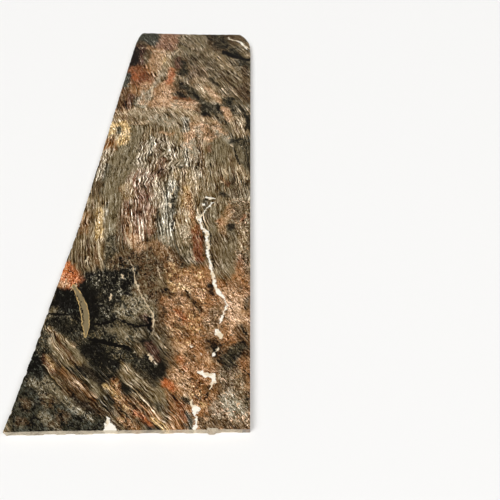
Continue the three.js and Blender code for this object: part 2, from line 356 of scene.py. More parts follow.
    ("umber", 1.8, 0.6, 25, 1, 35, 1.5),
    # Black and grey blocks at the left of the near half
    ("flecked", 6, 1, -26, 60, -15, 60), ("black", 2.5, 0.8, -29, 58, -24, 55),
    ("flecked", 5.5, 0.95, -13, 66, -13, 50), ("mottle", 4, 0.7, -17, 70, -11, 72),
    ("black", 9, 1, -32, 50, -22, 44), ("flecked", 4, 0.8, -16, 52, -15, 44),
    ("pitch", 3, 0.8, -34.5, 55, -30, 46), ("charcoal", 4.5, 0.9, -36, 42, -27, 37),
    ("black", 2.2, 0.6, -35, 41, -29, 38), ("slate", 1.4, 0.7, -38.5, 46, -37, 47),
    ("lichen", 5.5, 1, -8, 48, -3, 46), ("maroon", 1.6, 0.8, -1.5, 43, 0.5, 40),
    ("black", 1.6, 0.7, -2, 42, 1, 38), ("lichen", 2.8, 0.8, -16, 36.5, -5, 35.5),
    ("charcoal", 2, 0.7, -17, 40, -3, 40), ("charcoal", 7, 1, -17, 31, -7, 23),
    ("black", 3.5, 0.9, -19, 30, -11, 22), ("black", 3.8, 0.95, 0, 31, 6, 21),
    ("charcoal", 3, 0.8, -6, 27, 2, 24), ("grey", 0.4, 0.8, 2, 28.5, 5, 23.5),
    ("maroon", 1.8, 0.7, 2, 31, 5, 26), ("olive", 1.4, 0.9, -2.5, 31, -1, 28.5),
    ("orange", 4.2, 1, -37.5, 66, -34, 61), ("rose", 1.6, 0.7, -37.5, 58.5, -35, 59),
    # The fan of streaks in the near left corner
    ("fan", 9, 1, -38, 28, -5, 2), ("fan", 6, 0.9, -10, 16, 6, 4),
    ("charcoal", 3.5, 0.8, -38, 34, -33, 29), ("olive", 2.2, 1, -33.4, 33.4, -27.2, 26, -24.7, 24.4),
    ("slate", 1.2, 0.9, -26, 30, -20, 23.5, -12.3, 12), ("tan", 0.8, 0.3, -31, 31, -26, 26.5),
    ("umber", 2.2, 0.7, -33, 25, -28, 20), ("tan", 0.6, 0.9, -37, 38.5, -31, 34.5, -25, 30.5),
    ("tan", 0.6, 0.7, -22, 24, -15, 18, -9, 13), ("brick", 1, 0.5, -36, 27, -30, 21),
    ("ochre", 0.8, 0.4, -34.5, 26.5, -30.5, 22),
    ("brick_streak", 1.2, 0.6, -26.6, 20.5, -18.9, 14.6, -13.6, 10.2),
    ("umber", 1.4, 0.9, -28.4, 19.4, -18.7, 10.2, -11.1, 6.1), ("black", 1.4, 0.9, -20, 22, -12, 16),
    ("black", 0.9, 0.9, -10, 19, -3, 14), ("pitch", 2.2, 0.9, -9, 23, -6, 21),
    ("olive", 2.8, 1, -5, 21, 7, 12), ("black", 0.8, 0.8, -3, 23, 5, 16),
    ("tan", 1.2, 0.6, 0, 12, 8, 5), ("golden", 1.4, 0.8, -8.5, 17, -6, 11),
    ("ochre", 0.7, 0.7, -11, 15, -5, 10.5), ("umber", 2, 0.8, -24, 13, -14, 7),
    ("golden", 3, 0.6, -4, 9, 4, 5), ("umber", 3, 0.9, -6, 5, 2, 0), ("golden", 1.2, 0.8, -4, 4, 2, 0),
    ("brick_streak", 1.2, 0.8, 2, 8, 9, 3), ("ochre", 0.7, 0.9, 5.5, 4.5, 12, 0),
    ("orange", 0.5, 0.8, 0, 6.5, 7, 1.5), ("pitch", 4, 1, -39.5, 25, -36.5, 20),
    ("dusk", 7.5, 1, -38, 12, -30, 0), ("dusk", 5, 1, -30, 6, -12, 0),
    ("lichen", 1.8, 0.7, -33.5, 15, -32, 13), ("mottle", 2, 0.8, -30, 10.5, -28.5, 9),
    ("mottle", 1.6, 0.7, -26, 2, -23.5, 1.5), ("mottle", 1.6, 0.7, -36.5, 9, -35, 8),
    ("lichen", 1.3, 0.7, -37.5, 17, -36, 16.5), ("lichen", 1.6, 0.7, -30, 5, -28, 3.5),
    ("mottle", 1.6, 0.6, -24, 5.5, -22, 4), ("mottle", 1.4, 0.6, -37, 3, -34.5, 2),
    ("lichen", 1, 0.9, -32.2, 17.5, -25.8, 12, -18.3, 6.4, -13.5, 3.8),
    ("grey", 0.3, 0.6, -27, 13, -19, 7.5), ("pitch", 1.1, 0.8, -21.5, 11.5, -13.5, 6.2),
)

# The veins, each from its far end to its near one: across, along and half width at each of
# its points
WHITE_VEINS = (
    (14.6, 97.6, 0.2, 16, 96.2, 0.8, 16.3, 93, 0.4, 17.2, 90, 0.5, 18.6, 88.4, 0.9, 20.1, 86.6, 0.6,
     19.6, 83.5, 0.4, 20.6, 80, 0.7, 20.7, 75.5, 0.6, 21.1, 72.9, 0.2, 21.9, 70, 0.5, 22.3, 68.2, 0.8,
     22.6, 66.2, 0.2, 23.1, 64.5, 0.7, 23.8, 61.5, 0.6, 24.6, 58, 0.6, 25.8, 55.2, 0.8, 27.6, 53.1, 0.7,
     28.8, 51.2, 0.2, 29.3, 49, 0.2, 29.2, 47, 0.5, 28.4, 44.8, 0.4, 27.8, 42.5, 0.5, 27.1, 40.3, 0.1),
    (25.8, 37.8, 0.5, 26.6, 36.2, 1.2, 28, 34.5, 0.7), (26.8, 30.3, 0.3, 26.6, 29, 0.4),
    (25.8, 28.2, 0.3, 25.2, 26.8, 0.4), (20.4, 20.6, 0.5, 22.8, 19.6, 0.8, 26.2, 19, 0.8),
    (26.1, 18.6, 0.6, 25.8, 16.5, 0.7, 24.5, 14, 0.1),
    (18.6, 10.3, 0.2, 19.3, 8.3, 0.5, 20.6, 6.8, 1, 20.3, 5, 0.4), (21, 4, 0.4, 20.7, -1, 0.6),
    (18, 109.8, 0.5, 19.6, 109.2, 0.7, 22.4, 108.7, 0.4), (16.4, 105.3, 0.3, 17.2, 104.5, 0.8),
    (21.7, 106.5, 0.2, 19, 102.9, 0.3, 17.8, 99.5, 0.2, 16.4, 97.1, 0.4),
    (16.8, 30.9, 0.2, 17.5, 30.6, 0.4), (20.9, 28, 0.3, 21.2, 27.2, 0.2),
    (1.3, 106.2, 0.3, 1.8, 104, 0.6, 2.2, 102.5, 0.2), (38, 110.5, 0.3, 38, 108, 0.5),
    (24, 266.5, 0.3, 25, 264, 0.5, 27.5, 262.5, 0.3, 30.5, 261.2, 0.5, 32.2, 259.8, 0.7,
     33.8, 256.5, 0.8, 35.2, 253.5, 0.6, 36.6, 250, 0.3),
    (-8.4, 4.4, 0.3, -7.8, 2.6, 0.9, -7, 0.6, 2, -6.6, -1, 2.6),
)
TAN_VEINS = (
    (36.6, 243.5, 0.4, 37, 242.2, 0.5), (-7.5, 250, 0.3, -9.2, 246.5, 0.3, -10.4, 243, 0.2),
    (-24, 248.7, 0.5, -22.5, 248, 0.5), (-19.2, 206, 0.4, -18.7, 199, 0.4, -18.2, 194, 0.3),
    (20.5, 230, 0.4, 21.8, 228.6, 0.5), (12.5, 227.5, 0.2, 14.5, 225.6, 0.3, 16.5, 225.2, 0.2),
    (-31, 253, 0.2, -32, 251.5, 0.4), (33, 133, 0.3, 35, 126.5, 0.3, 37.2, 122, 0.3),
    (25.5, 130, 0.2, 26.8, 127, 0.4, 27.5, 125.8, 0.2), (24, 121, 0.3, 25.5, 120, 0.4),
    (28.5, 149.5, 0.3, 29.5, 148, 0.6), (-18, 170.6, 0.4, -16.8, 170, 0.6),
    (3.5, 120.5, 0.1, 2.8, 116.5, 0.2, 1.6, 111.5, 0.2),
    (-16.5, 88, 0.1, -14, 82.5, 0.2, -12.2, 78, 0.2),
    (-11.8, 72, 0.1, -9.2, 66.5, 0.15, -8.2, 62, 0.15, -6.8, 58.5, 0.3, -5, 55, 0.2, -3, 51.5, 0.18,
     -0.6, 47.5, 0.2, 1.2, 45.2, 0.3, 1.9, 44, 0.4, 2.3, 40, 0.2, 2.5, 35.5, 0.1),
    (0, 69, 0.1, 1.8, 64, 0.18, 3.1, 61, 0.1), (2.5, 79, 0.1, 5, 73.5, 0.15, 6.8, 69, 0.1),
    (12.5, 77.5, 0.1, 14.8, 72.5, 0.2, 16, 70, 0.1), (-16.3, 54.5, 0.2, -16, 51, 0.3),
    (-13.6, 64, 0.3, -12.8, 62, 0.4), (-30.5, 58.2, 0.2, -33, 57, 0.3),
    (1.8, 27.5, 0.3, 3, 26.2, 0.7, 3.6, 24.8, 0.3), (-30, 70, 0.2, -29.2, 73.5, 0.2),
)
# A pale curved blade in the black stone
BLADE = (
    -32.2, 58.5, 0.6, -30.2, 55.8, 0.9, -27.8, 52, 1.2, -25.8, 48.2, 1.4, -24.3, 44, 1.5,
    -23.1, 40, 1.3, -22.4, 37, 0.9, -22.2, 34.5, 0.3,
)
BLACK_SEAMS = (
    (-36, 66.4, 0.3, -35, 65.5, 0.3, -33.7, 64.8, 0.1),
    (-30.2, 54.5, 0.1, -27.4, 50, 0.15, -25.4, 45, 0.2, -24, 40, 0.1),
    (-38.5, 45, 0.3, -34, 44.4, 0.5, -30, 44.2, 0.3),
    (-20.5, 33.8, 0.4, -15, 32.5, 1, -10, 31.2, 0.9, -5, 29.8, 0.8),
    (-20, 40, 0.4, -16, 40.5, 0.5, -12.5, 42, 0.3),
    (-12.5, 42.8, 0.2, -8, 40.8, 0.4, -4, 39.2, 0.5, 0, 39.8, 0.4),
    (0, 39.8, 0.3, 1.4, 37.5, 0.4, 1.4, 35, 0.3), (-1, 44, 0.2, 0.6, 42, 0.7, 1, 39.5, 0.6),
    (19.5, 88.5, 0.1, 21.6, 86.5, 0.3, 21.7, 80, 0.2), (22.2, 76, 0.1, 22.8, 72, 0.3, 24, 67, 0.2),
    (15, 48, 0.1, 17, 45, 0.2, 19.5, 41.5, 0.1), (14, 53.5, 0.1, 17, 50.5, 0.2, 20.5, 48, 0.1),
    (24.5, 14, 0.1, 23.6, 11.2, 0.3, 23.2, 9.2, 0.1), (35, 40, 0.1, 36.6, 36.5, 0.4, 38, 34.5, 0.3),
    (34.5, 24, 0.1, 37.2, 20.5, 0.2, 38.8, 18.5, 0.2),
    (20.5, 220, 0.2, 23.5, 214, 0.3, 27, 208, 0.3, 32, 200, 0.2),
    (-7.5, 259, 0.1, -5, 256, 0.4, -2.5, 254, 0.2), (0.5, 244, 0.1, 3, 239, 0.4, 5, 235, 0.2),
    (21.5, 254, 0.1, 22.5, 250, 0.3, 24, 247, 0.2),
    (5, 98.5, 0.1, 4.6, 94, 0.3, 4, 90, 0.4, 5.6, 88, 0.2), (9, 150, 0.1, 12, 146, 0.2, 14, 140, 0.1),
    (30, 147, 0.2, 32, 139, 0.4, 33.5, 133, 0.2), (-27, 166.8, 0.1, -20, 166.4, 0.2, -13, 167.2, 0.1),
)
# How far from its line a vein is carried at its full width, and the half width where there
# is no vein, in metres
VEIN_REACH = 0.022
NO_VEIN = -0.02
# How much of the veins' jagged shake the blade's edge has
BLADE_SHAKE = 0.5

# The cells in which the flow of the grain is worked out, and how softly one hint of its lean
# gives way to the next, in metres
FLOW_STEP = 0.005
HINT_REACH = 0.04
# How far the layers lean over for each metre down
LAYER_DIP = 0.7

# How far the lightness swings from grain to grain, the middle of the noise that drives it,
# the darkest colour as it is seen, in shares of white, and the power that turns colours as
# they are seen into light
GRAIN_CONTRAST = 5.6
GRAIN_MIDDLE = 0.513
DARKEST_SEEN = (0.07, 0.06, 0.04)
SCREEN_POWER = 2.2

# Each light's name, where it stands and its strength. They stand where the polished face
# doesn't mirror them to the camera, and look this many degrees wide from the slab
LIGHTS = (
    ("left_key", (-0.45, -0.45, 0.77), 2.35),
    ("right_key", (0.52, -0.34, 0.78), 1.85),
)
LIGHT_SPREAD = 38
SKY_COLOUR = (1, 0.995, 0.985)
FLOOR_COLOUR = (0.84, 0.835, 0.825)
FLOOR_SIZE = 60
# Where the camera is, and how many degrees it looks up from straight down
CAMERA_PLACE = (0.3965, -1.9815, 1.63)
CAMERA_TILT = 41


def smoothstep(value, low, high):
    t = np.clip((value - low) / (high - low), 0, 1)
    return t * t * (3 - 2 * t)


def lumps(*coordinates):
    """Smooth noise from about -1 to 1 at each place. The last coordinate may be one number."""
    return np.array([noise.noise(Vector(place)) for place in np.broadcast(*coordinates)])


def potential(slope_x, slope_y, step):
    """The surface whose slopes come closest to the ones given, by a cosine transform."""
    source = np.zeros(slope_x.shape)
    rise_x = (slope_x[1:] + slope_x[:-1]) / 2
    rise_y = (slope_y[:, 1:] + slope_y[:, :-1]) / 2
    source[:-1] += rise_x
    source[1:] -= rise_x
    source[:, :-1] += rise_y
    source[:, 1:] -= rise_y
    mirrored = np.block([[source, source[:, ::-1]], [source[::-1], source[::-1, ::-1]]])
    rows, columns = mirrored.shape
    turn_x = np.cos(2 * np.pi * np.arange(rows) / rows)[:, None]
    turn_y = np.cos(2 * np.pi * np.arange(columns) / columns)[None, :]
    stiffness = 2 * turn_x + 2 * turn_y - 4
    stiffness[0, 0] = 1
    spectrum = np.fft.fft2(mirrored) / stiffness
    spectrum[0, 0] = 0
    return np.fft.ifft2(spectrum).real[: source.shape[0], : source.shape[1]] * step


def grain_at(places):
    """For each place: its coordinate across the grain, the one along it, and the grain's lean."""
    low = np.array(SLAB_LOW[:2]) - 2 * FLOW_STEP
    span = np.array(SLAB_SIZE[:2]) + 4 * FLOW_STEP
    counts = np.ceil(span / FLOW_STEP).astype(int) + 1
    grid_x, grid_y = np.meshgrid(
        low[0] + FLOW_STEP * np.arange(counts[0]),
        low[1] + FLOW_STEP * np.arange(counts[1]),
        indexing="ij",
    )
    cosines = np.zeros(grid_x.shape)
    sines = np.zeros(grid_x.shape)
    for *hint, lean in GRAIN:
        x, y = FIGURE_ORIGIN + CENTIMETRE * np.array(hint)
        weight = ((grid_x - x) ** 2 + (grid_y - y) ** 2 + HINT_REACH**2) ** -1.5
        cosines += weight * math.cos(2 * math.radians(lean))
        sines += weight * math.sin(2 * math.radians(lean))
    lean = np.arctan2(sines, cosines) / 2
    fields = (
        potential(np.cos(lean), -np.sin(lean), FLOW_STEP),
        potential(np.sin(lean), np.cos(lean), FLOW_STEP),
        lean,
    )
    spot = (places - low) / FLOW_STEP
    cell = np.floor(spot).astype(int)
    part = spot - cell
    i, j = cell.T
    u, v = part.T
    return [
        f[i, j] * (1 - u) * (1 - v) + f[i + 1, j] * u * (1 - v)
        + f[i, j + 1] * (1 - u) * v + f[i + 1, j + 1] * u * v
        for f in fields
    ]


def drawn_line(line, columns=2):
    """A line drawn in centimetres as rows of metres: across, along and perhaps a half width."""
    return CENTIMETRE * np.reshape(line, (-1, columns))


def along_line(places, points):
    """For each place: its distance from the line of points, its side, how many points along
    the line it lies, and how far it lies past either end."""
    best = np.full(len(places), np.inf)
    side, reached, past = np.ones(len(places)), np.zeros(len(places)), np.zeros(len(places))
    last = len(points) - 2
    for i, (start, end) in enumerate(zip(points, points[1:])):
        step = end - start
        length = math.hypot(*step)
        share = (places - start) @ step / length**2
        held = np.clip(share, 0, 1)
        gap = places - start - held[:, None] * step
        distance = np.hypot(*gap.T)
        over = np.zeros(len(places))
        if i == 0:
            over = np.maximum(over, -share * length)
        if i == last:
            over = np.maximum(over, (share - 1) * length)
        closer = distance < best
        best = np.where(closer, distance, best)
        side = np.where(closer, np.where(step[0] * gap[:, 1] > step[1] * gap[:, 0], 1, -1), side)
        reached = np.where(closer, i + held, reached)
        past = np.where(closer, over, past)
    return best, side, reached, past


def line_field(places, *kinds):
    """Signed offset from the nearest of many lines, that line's half width there, and the
    number of its kind. The half width falls below zero away from the line and past its ends."""
    nearest = np.full(len(places), np.inf)
    field = np.tile([1, NO_VEIN, 0], (len(places), 1))
    for kind, lines in enumerate(kinds):
        for line in lines:
            line = drawn_line(line, 3)
            distance, side, reached, past = along_line(places, line[:, :2])
            half = np.interp(reached, range(len(line)), line[:, 2])
            half -= past + 2 * np.maximum(distance - VEIN_REACH, 0)
            closer = distance - half < nearest
            nearest = np.where(closer, distance - half, nearest)
            field[closer, 0] = (distance * side)[closer]
            field[closer, 1] = np.maximum(half, NO_VEIN)[closer]
            field[closer, 2] = kind
    return field


def paint_patches(places, grain, colours, fray):
    """Each place's dark, middle and light colours, with the dark's share, the streakiness and
    the light's share after them in turn."""
    across, along, lean = grain
    run = 0.7 * lumps(across / 0.011, along / 0.09, 1) + 0.6 * lumps(across / 0.03, along / 0.2, 2)
    sway = 0.010 * lumps(places[:, 0] / 0.03, places[:, 1] / 0.03, 3)
    sway += 0.008 * lumps(places[:, 0] / 0.012, places[:, 1] / 0.012, 4)
    frayed = places + np.stack([np.sin(lean) * fray * run + sway, np.cos(lean) * fray * run], axis=1)
    looks = {}
    for name, (dark, middle, light, dark_share, light_share, streaky) in MINERALS.items():
        looks[name] = np.array([
            *getattr(colours, dark), dark_share, *getattr(colours, middle), streaky,
            *getattr(colours, light), light_share,
        ])
    paint = np.tile(looks["fibre"], (len(places), 1))
    for mineral, half, strength, *line in PATCHES:
        half *= CENTIMETRE
        distance = along_line(frayed, drawn_line(line))[0]
        soft = 0.5 * half + 0.008
        cover = strength * smoothstep(half - distance, -soft / 2, soft / 2)
        paint += cover[:, None] * (looks[mineral] - paint)
    return paint


def carry_figure(mesh, colours, fray):
    """Writes the grain, the patches and the veins on the mesh's points."""
    count = len(mesh.vertices)
    places = np.zeros(count * 3)
    mesh.vertices.foreach_get("co", places)
    places = places.reshape(-1, 3)[:, :2]
    drawn = places - FIGURE_ORIGIN
    grain = grain_at(places)
    paint = paint_patches(drawn, grain, colours, fray)
    wave = np.full(count, CALM_WAVE)
    for half, height, *line in WAVES:
        distance = along_line(drawn, drawn_line(line))[0]
        cover = smoothstep(CENTIMETRE * half - distance, -0.08, 0.04)
        wave += cover * (CENTIMETRE * height - wave)
    fields = {
        "grain": ("FLOAT_VECTOR", np.stack([*grain[:2], wave], axis=1)),
        "dark": ("FLOAT_COLOR", paint[:, :4]),
        "middle": ("FLOAT_COLOR", paint[:, 4:8]),
        "light": ("FLOAT_COLOR", paint[:, 8:]),
        "vein": ("FLOAT_VECTOR", line_field(drawn, WHITE_VEINS, TAN_VEINS, [BLADE])),
        "seam": ("FLOAT_VECTOR", line_field(drawn, BLACK_SEAMS)),
    }
    for name, (kind, values) in fields.items():
        layer = mesh.attributes.new(name, kind, "POINT")
        layer.data.foreach_set("color" if kind == "FLOAT_COLOR" else "vector", values.ravel())


def spline(points, steps=24):
    """Points along the smooth curve through the ones given."""
    points = np.array(points)
    padded = np.vstack([2 * points[0] - points[1], points, 2 * points[-1] - points[-2]])
    t = np.arange(steps)[:, None] / steps
    spans = [
        (2 * b + (c - a) * t + (2 * a - 5 * b + 4 * c - d) * t**2 + (3 * b - a - 3 * c + d) * t**3) / 2
        for a, b, c, d in zip(padded, padded[1:], padded[2:], padded[3:])
    ]
    return np.vstack([*spans, points[-1:]])


def by_length(*stretches):
    """A function from 0 to 1 to the place that share of the way along the joined stretches."""
    path = np.vstack(stretches)
    lengths = np.append(0, np.cumsum(np.hypot(*np.diff(path, axis=0).T)))
    return lambda share: np.stack(
        [np.interp(share * lengths[-1], lengths, path[:, axis]) for axis in (0, 1)], axis=-1
    )


def slab_sides():
    """The near end, far end, left side and right side seen from above."""
    near_left, far_right = np.array(SLAB_LOW[:2]), np.array(SLAB_HIGH[:2])
    far_left = np.array((SLAB_LOW.x, SLAB_HIGH.y))
    left_corner, right_corner = far_left + (0.056, -0.032), far_right + (-0.04, -0.07)
    near_end = spline(near_left + ((0, 0), (0.15, 0.004), (0.4, 0.007), (SLAB_SIZE.x - 0.003, 0.011)))
    # Sawn straight, then the broken far corner
    right_side = spline(np.vstack([
        far_right + ((0, -SAWN_SHORT), (-0.004, -0.182), (-0.015, -0.13)),
        right_corner,
    ]))
    left_side = spline(np.vstack([
        near_left + ((0, 0), (0.014, 0.26), (0.021, 0.46), (0.029, 0.66), (0.036, 0.81), (0.04, 1.02)),
        far_left + ((0.04, -0.77), (0.041, -0.23), (0.046, -0.102)),
        left_corner,
    ]))
    far_end = spline(np.vstack([
        left_corner,
        far_left + ((0.066, -0.009), (0.084, 0), (0.19, -0.009)),
        (0, SLAB_HIGH.y - 0.02),
        far_right + ((-0.105, -0.025), (-0.068, -0.032)),
        right_corner,
    ]))
    return (by_length(near_end), by_length(far_end), by_length(left_side),
            by_length(near_end[-1:], right_side))


def fill_outline(u, v):
    """Places that fill the outline evenly, for shares u across and v along."""
    near, far, left, right = slab_sides()
    u, v = u[:, None], v[:, None]
    corners = (1 - u) * (1 - v) * near(0) + u * (1 - v) * near(1)
    corners += (1 - u) * v * far(0) + u * v * far(1)
    ends = (1 - v) * near(u[:, 0]) + v * far(u[:, 0])
    sides = (1 - u) * left(v[:, 0]) + u * right(v[:, 0])
    return ends + sides - corners


def raw_share(x, y):
    """1 where the rim is broken stone, less at the near end and close to 0 on the sawn side."""
    off_side = SLAB_HIGH.x - 0.003 - x
    past_ends = max(y - (SLAB_HIGH.y - SAWN_SHORT), SLAB_LOW.y + 0.025 - y)
    raw = SAWN_RAW + (1 - SAWN_RAW) * float(smoothstep(max(off_side, past_ends), 0, SAWN_FADE))
    return raw * (NEAR_END_RAW + (1 - NEAR_END_RAW) * float(smoothstep(y - SLAB_LOW.y, *NEAR_END_FADE)))


def rim_setback(sizes, x, y, z):
    """How far the rim stands back from the outline, and how much of that is a chip."""
    height = z / SLAB_SIZE.z
    split = noise.noise(Vector((x / LEDGE_SIZE, y / LEDGE_SIZE, z / LEDGE_HEIGHT)))
    ledge = sizes.ledge_depth * float(smoothstep(split, -0.05, 0.08)) * (1 - height)
    pits = sizes.pit_depth * (0.5 + 0.5 * noise.noise(Vector((x, y, z)) / PIT_SIZE))
    grit = 0.4 * sizes.pit_depth * noise.noise(Vector((x, y, z)) / GRIT_SIZE)
    chip = sizes.chip_depth * float(smoothstep(noise.noise(Vector((x, y, 0)) / CHIP_SIZE), 0.15, 0.5))
    lean = sizes.foot_bulge * (1 - height)
    raw = raw_share(x, y)
    setback = raw * (ledge + pits + grit + chip * height - lean)
    knob = 0
    if y < SLAB_LOW.y + 0.03:
        gap = abs(x - FIGURE_ORIGIN[0] - KNOB_PLACE)
        knob = KNOB_OUT * float(smoothstep(KNOB_HALF - gap, 0, KNOB_RISE)) * min(height * 3, 1)
    return setback - knob, raw * chip + knob


def grid_in_outline(bm, across, along, height, shrink=(1, 1)):
    """A flat grid that fills the outline, and its border's corners in order round it."""
    made = bmesh.ops.create_grid(bm, x_segments=across, y_segments=along, size=0.5)["verts"]
    shares = np.array([vert.co[:2] for vert in made]) + 0.5
    for vert, (x, y) in zip(made, fill_outline(*shares.T)):
        vert.co = (x * shrink[0], y * shrink[1], height)
    row = across + 1
    border = [*range(0, across), *range(across, row * along + across, row)]
    border += [*range(row * (along + 1) - 1, row * along, -1), *range(row * along, 0, -row)]
    return made, [made[i] for i in border]


def border_edges(bm, border):
    return [bm.edges.get(pair) for pair in zip(border, border[1:] + border[:1])]


def outward_directions(border):
    """The outward direction at each corner of a border that runs counterclockwise."""
    places = np.array([vert.co[:2] for vert in border])
    along = np.roll(places, -1, axis=0) - np.roll(places, 1, axis=0)
    along /= np.hypot(*along.T)[:, None]
    return places, np.stack([along[:, 1], -along[:, 0]], axis=1)


POLISHED, BROKEN, SAWN = range(3)


def build_slab_mesh(sizes):
    bm = bmesh.new()
    top = SLAB_SIZE.z
    border = grid_in_outline(bm, CELLS_ACROSS, CELLS_ALONG, top)[1]
    for face in bm.faces:
        face.material_index = POLISHED
    outline, outward = outward_directions(border)
    # The polished face ends in chips
    for vert, (x, y), out in zip(border, outline, outward):
        setback, chip = rim_setback(sizes, x, y, top)
        setback = min(setback, EDGE_BREAK)
        vert.co = (x - out[0] * setback, y - out[1] * setback, top - CHIP_DROP * chip)
        if chip > CHIP_SHOWS * sizes.chip_depth:
            for face in vert.link_faces:
                face.material_index = BROKEN
    # The rim, extruded down row by row and broken back
    ring = border
    for row in range(1, RIM_ROWS + 1):
        height = top * (1 - row / RIM_ROWS)
        grown = bmesh.ops.extrude_edge_only(bm, edges=border_edges(bm, ring))["geom"]
        above = set(ring)
        below = {}
        for vert in (item for item in grown if isinstance(item, bmesh.types.BMVert)):
            for edge in vert.link_edges:
                if edge.other_vert(vert) in above:
                    below[edge.other_vert(vert)] = vert
        ring = [below[vert] for vert in ring]
        for vert, (x, y), out in zip(ring, outline, outward):
            setback = rim_setback(sizes, x, y, height)[0]
            vert.co = (x - out[0] * setback, y - out[1] * setback, height)
            for face in vert.link_faces:
                face.material_index = SAWN if raw_share(x, y) < SAWN_BELOW else BROKEN
    # The sawn underside
    shrink = (1 - 2 * UNDERSIDE_INSET / SLAB_SIZE.x, 1 - 2 * UNDERSIDE_INSET / SLAB_SIZE.y)
    flat, inner = grid_in_outline(bm, UNDERSIDE_ACROSS, UNDERSIDE_ALONG, 0, shrink)
    under = {face for vert in flat for face in vert.link_faces}
    bmesh.ops.reverse_faces(bm, faces=list(under))
    edges = border_edges(bm, ring) + border_edges(bm, inner)
    under.update(bmesh.ops.bridge_loops(bm, edges=edges)["faces"])
    for face in under:
        face.material_index = SAWN
    for face in bm.faces:
        face.smooth = True
    for edge in border_edges(bm, border) + border_edges(bm, ring):
        edge.smooth = False
    if any(not edge.is_manifold for edge in bm.edges):
        raise RuntimeError("the slab isn't closed")
    mesh = bpy.data.meshes.new("figured_slab")
    bm.to_mesh(mesh)
    bm.free()
    return mesh


class Nodes:
    """The nodes of a material or a sky, cleared, with short ways to add what is needed."""

    def __init__(self, owner):
        owner.use_nodes = True
        self.tree = owner.node_tree
        self.tree.nodes.clear()

    def add(self, kind, inputs, **settings):
        """Adds a node, sets its options and fills its inputs with values or other outputs."""
        node = self.tree.nodes.new("ShaderNode" + kind)
        for name, value in settings.items():
            setattr(node, name, value)
        for name, value in inputs.items():
            if isinstance(value, bpy.types.NodeSocket):
                self.tree.links.new(value, node.inputs[name])
            else:
                node.inputs[name].default_value = value
        return node

    def calculate(self, operation, *values):
        return self.add("Math", dict(enumerate(values)), operation=operation).outputs[0]

    def plus(self, *values):
        return self.calculate("ADD", *values)

    def minus(self, *values):
        return self.calculate("SUBTRACT", *values)

    def times(self, *values):
        return self.calculate("MULTIPLY", *values)

    def scaled(self, value, scale, start):
        """The value times the scale, on top of the start."""
        return self.calculate("MULTIPLY_ADD", value, scale, start)

    def between(self, first, second, share):
        """The first value turning into the second."""
        return self.scaled(self.minus(second, first), share, first)

    def vector(self, x, y, z):
        return self.add("CombineXYZ", {"X": x, "Y": y, "Z": z}).outputs[0]

    def split(self, socket):
        return self.add("SeparateXYZ", {0: socket}).outputs

    def carried(self, name):
        """The outputs that read one of the mesh's own attributes."""
        return self.add("Attribute", {}, attribute_name=name).outputs

    def cloud(self, place, scale=1, detail=3, roughness=0.6, distortion=0):
        """Noise between 0 and 1."""
        inputs = {"Vector": place, "Scale": scale, "Detail": detail, "Roughness": roughness,
                  "Distortion": distortion}
        return self.add("TexNoise", inputs, noise_dimensions="3D").outputs[0]

    def streaks(self, x, y, scale_x, scale_y, layer, **kind):
        """Noise with its own scales for x and y, in a layer of its own."""
        return self.cloud(self.vector(self.times(x, scale_x), self.times(y, scale_y), layer), **kind)

    def ramp(self, value, low, high, start=0, end=1):
        """Goes smoothly from start to end as the value goes from low to high."""
        inputs = {"Value": value, "From Min": low, "From Max": high, "To Min": start, "To Max": end}
        return self.add("MapRange", inputs, interpolation_type="SMOOTHSTEP").outputs[0]

    def blend(self, factor, first, second, kind="MIX"):
        """The first colour turning into the second."""
        inputs = {0: factor, 6: first, 7: second}
        return self.add("Mix", inputs, data_type="RGBA", blend_type=kind).outputs[2]

    def shaded(self, colour_, shade, kind):
        """The colour with the same shade added to, or multiplied into, all its channels."""
        return self.blend(1, colour_, self.vector(shade, shade, shade), kind)

    def powered(self, colour_, power):
        return self.add("Gamma", {0: colour_, 1: power}).outputs[0]

    def share_cover(self, value, share, crisp):
        """1 where the noise is among its highest, over the given share of the area."""
        limit = self.scaled(share, -0.3, 0.65)
        return self.ramp(self.times(self.minus(value, limit), crisp), -0.01, 0.01)

    def hairlines(self, value, middle, width, strength):
        """Thin lines where the noise passes its middle value."""
        gap = self.calculate("ABSOLUTE", self.minus(value, middle))
        return self.times(self.ramp(gap, 0.3 * width, width, 1, 0), strength)

    def line_cover(self, name, shake):
        """How much a vein or seam covers a place, how near its edge, and its kind's number."""
        offset, half, kind = self.split(self.carried(name)["Vector"])
        shake = self.times(shake, self.ramp(kind, 1.4, 1.6, 1, BLADE_SHAKE))
        inside = self.minus(half, self.calculate("ABSOLUTE", self.plus(offset, shake)))
        return self.ramp(inside, -0.0008, 0.0008), self.ramp(inside, 0.001, 0.003, 1, 0), kind


def rgba(values):
    return (*values, 1)


